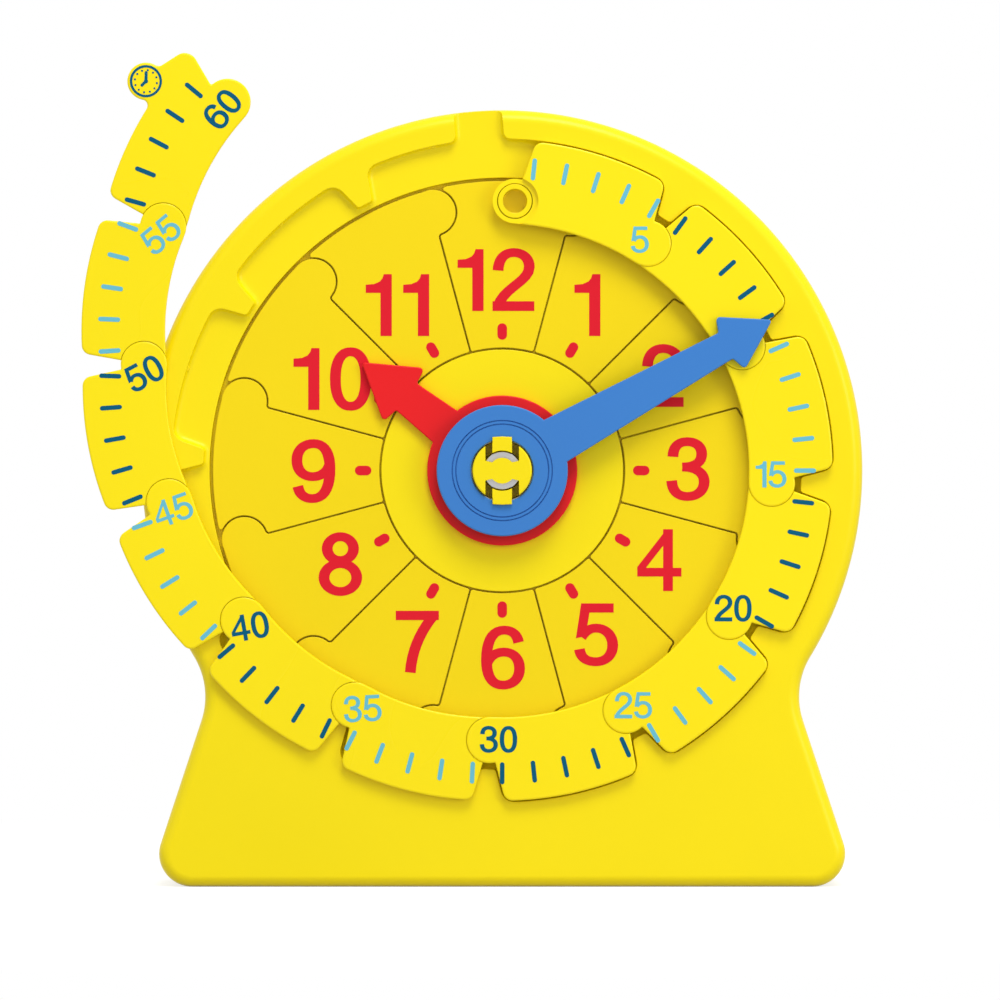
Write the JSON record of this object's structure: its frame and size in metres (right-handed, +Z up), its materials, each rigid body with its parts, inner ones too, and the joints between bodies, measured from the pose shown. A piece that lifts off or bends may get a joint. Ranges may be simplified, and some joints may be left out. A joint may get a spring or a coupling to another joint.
{
  "type": "geared teaching clock",
  "caption": "Self-standing round teaching clock with lift-out interlocking hour pieces, a hinged number line round the rim, and an hour hand geared to the minute hand.",
  "frame": {"origin": "middle of the foot's underside, on the surface that the clock stands on", "axes": "+Z up, -Y the way that the dial faces, +X to the right seen from the front"},
  "size_m": [0.284, 0.0676, 0.3032],
  "materials": {
    "casing_yellow": "moulded plastic, satin",
    "dial_yellow": "moulded plastic, satin, red printed numeral and dash",
    "line_yellow": "moulded plastic, satin, blue printed minute marks and number",
    "hand_red": "moulded plastic, satin",
    "hand_blue": "moulded plastic, satin",
    "gear_white": "moulded acetal, unpainted",
    "steel": "zinc plated"
  },
  "bodies": {
    "clock_body": {"front_casing": "casing_yellow", "back_cover": "casing_yellow", "number_line_post": "casing_yellow", "hand_post": "casing_yellow", "post_sleeve": "steel", "gear_plate": "gear_white", "wheel_stud": "steel", "hour_piece_01": "dial_yellow", "hour_piece_02": "dial_yellow", "hour_piece_03": "dial_yellow", "hour_piece_04": "dial_yellow", "hour_piece_05": "dial_yellow", "hour_piece_06": "dial_yellow", "hour_piece_07": "dial_yellow", "hour_piece_08": "dial_yellow", "hour_piece_10": "dial_yellow", "hour_piece_11": "dial_yellow", "hour_piece_12": "dial_yellow", "post_screw": "steel", "plate_screw_1": "steel", "plate_screw_2": "steel", "plate_screw_3": "steel", "cover_screw_1": "steel", "cover_screw_2": "steel", "cover_screw_3": "steel", "cover_screw_4": "steel", "cover_screw_5": "steel", "cover_screw_6": "steel"},
    "minute_hand_and_pinion": {"minute_hand": "hand_blue", "minute_pinion": "gear_white"},
    "hour_hand_and_wheel": {"hour_hand": "hand_red", "hour_wheel": "gear_white"},
    "transfer_wheel": {"minute_wheel": "gear_white"},
    "lifted_hour_piece": {"hour_piece_09": "dial_yellow"},
    "line_link_05": {"link_05": "line_yellow"},
    "line_link_10": {"link_10": "line_yellow"},
    "line_link_15": {"link_15": "line_yellow"},
    "line_link_20": {"link_20": "line_yellow"},
    "line_link_25": {"link_25": "line_yellow"},
    "line_link_30": {"link_30": "line_yellow"},
    "line_link_35": {"link_35": "line_yellow"},
    "line_link_40": {"link_40": "line_yellow"},
    "line_link_45": {"link_45": "line_yellow"},
    "line_link_50": {"link_50": "line_yellow"},
    "line_link_55": {"link_55": "line_yellow"},
    "line_link_60": {"link_60": "line_yellow"}
  },
  "joints": [
    {"name": "minute_hand_turn", "type": "hinge", "parent": "clock_body", "child": "minute_hand_and_pinion", "pos_m": [0, -0.027, 0.1516], "axis": [0, 1, 0], "continuous": true},
    {"name": "transfer_wheel_turn", "type": "hinge", "parent": "clock_body", "child": "transfer_wheel", "pos_m": [0, -0.014, 0.0916], "axis": [0, 1, 0], "continuous": true},
    {"name": "hour_hand_turn", "type": "hinge", "parent": "clock_body", "child": "hour_hand_and_wheel", "pos_m": [0, -0.027, 0.1516], "axis": [0, 1, 0], "continuous": true},
    {"name": "hour_piece_lift", "type": "slide", "parent": "clock_body", "child": "lifted_hour_piece", "axis": [0, -1, 0], "range_m": [0, 0.04]},
    {"name": "line_hinge_05", "type": "hinge", "parent": "clock_body", "child": "line_link_05", "pos_m": [0.00462, -0.0318, 0.24949], "axis": [0, -1, 0], "range_deg": [0, 30]},
    {"name": "line_hinge_10", "type": "hinge", "parent": "line_link_05", "child": "line_link_10", "pos_m": [0.05294, -0.0318, 0.23407], "axis": [0, -1, 0], "range_deg": [0, 30]},
    {"name": "line_hinge_15", "type": "hinge", "parent": "line_link_10", "child": "line_link_15", "pos_m": [0.08708, -0.0318, 0.19655], "axis": [0, -1, 0], "range_deg": [0, 30]},
    {"name": "line_hinge_20", "type": "hinge", "parent": "line_link_15", "child": "line_link_20", "pos_m": [0.09789, -0.0318, 0.14698], "axis": [0, -1, 0], "range_deg": [0, 30]},
    {"name": "line_hinge_25", "type": "hinge", "parent": "line_link_20", "child": "line_link_25", "pos_m": [0.08247, -0.0318, 0.09866], "axis": [0, -1, 0], "range_deg": [0, 30]},
    {"name": "line_hinge_30", "type": "hinge", "parent": "line_link_25", "child": "line_link_30", "pos_m": [0.04495, -0.0318, 0.06452], "axis": [0, -1, 0], "range_deg": [0, 30]},
    {"name": "line_hinge_35", "type": "hinge", "parent": "line_link_30", "child": "line_link_35", "pos_m": [-0.00462, -0.0318, 0.05371], "axis": [0, -1, 0], "range_deg": [-3.2, 26.8]},
    {"name": "line_hinge_40", "type": "hinge", "parent": "line_link_35", "child": "line_link_40", "pos_m": [-0.05373, -0.0318, 0.06641], "axis": [0, -1, 0], "range_deg": [-7, 23]},
    {"name": "line_hinge_45", "type": "hinge", "parent": "line_link_40", "child": "line_link_45", "pos_m": [-0.09398, -0.0318, 0.09729], "axis": [0, -1, 0], "range_deg": [-9.6, 20.4]},
    {"name": "line_hinge_50", "type": "hinge", "parent": "line_link_45", "child": "line_link_50", "pos_m": [-0.12093, -0.0318, 0.14027], "axis": [0, -1, 0], "range_deg": [-8.3, 21.7]},
    {"name": "line_hinge_55", "type": "hinge", "parent": "line_link_50", "child": "line_link_55", "pos_m": [-0.13009, -0.0318, 0.19016], "axis": [0, -1, 0], "range_deg": [-11.6, 18.4]},
    {"name": "line_hinge_60", "type": "hinge", "parent": "line_link_55", "child": "line_link_60", "pos_m": [-0.12303, -0.0318, 0.24039], "axis": [0, -1, 0], "range_deg": [-10.6, 19.4]}
  ],
  "couplings": [
    {"joint": "transfer_wheel_turn", "follows": "minute_hand_turn", "ratio": -0.33333},
    {"joint": "hour_hand_turn", "follows": "minute_hand_turn", "ratio": 0.083333}
  ]
}
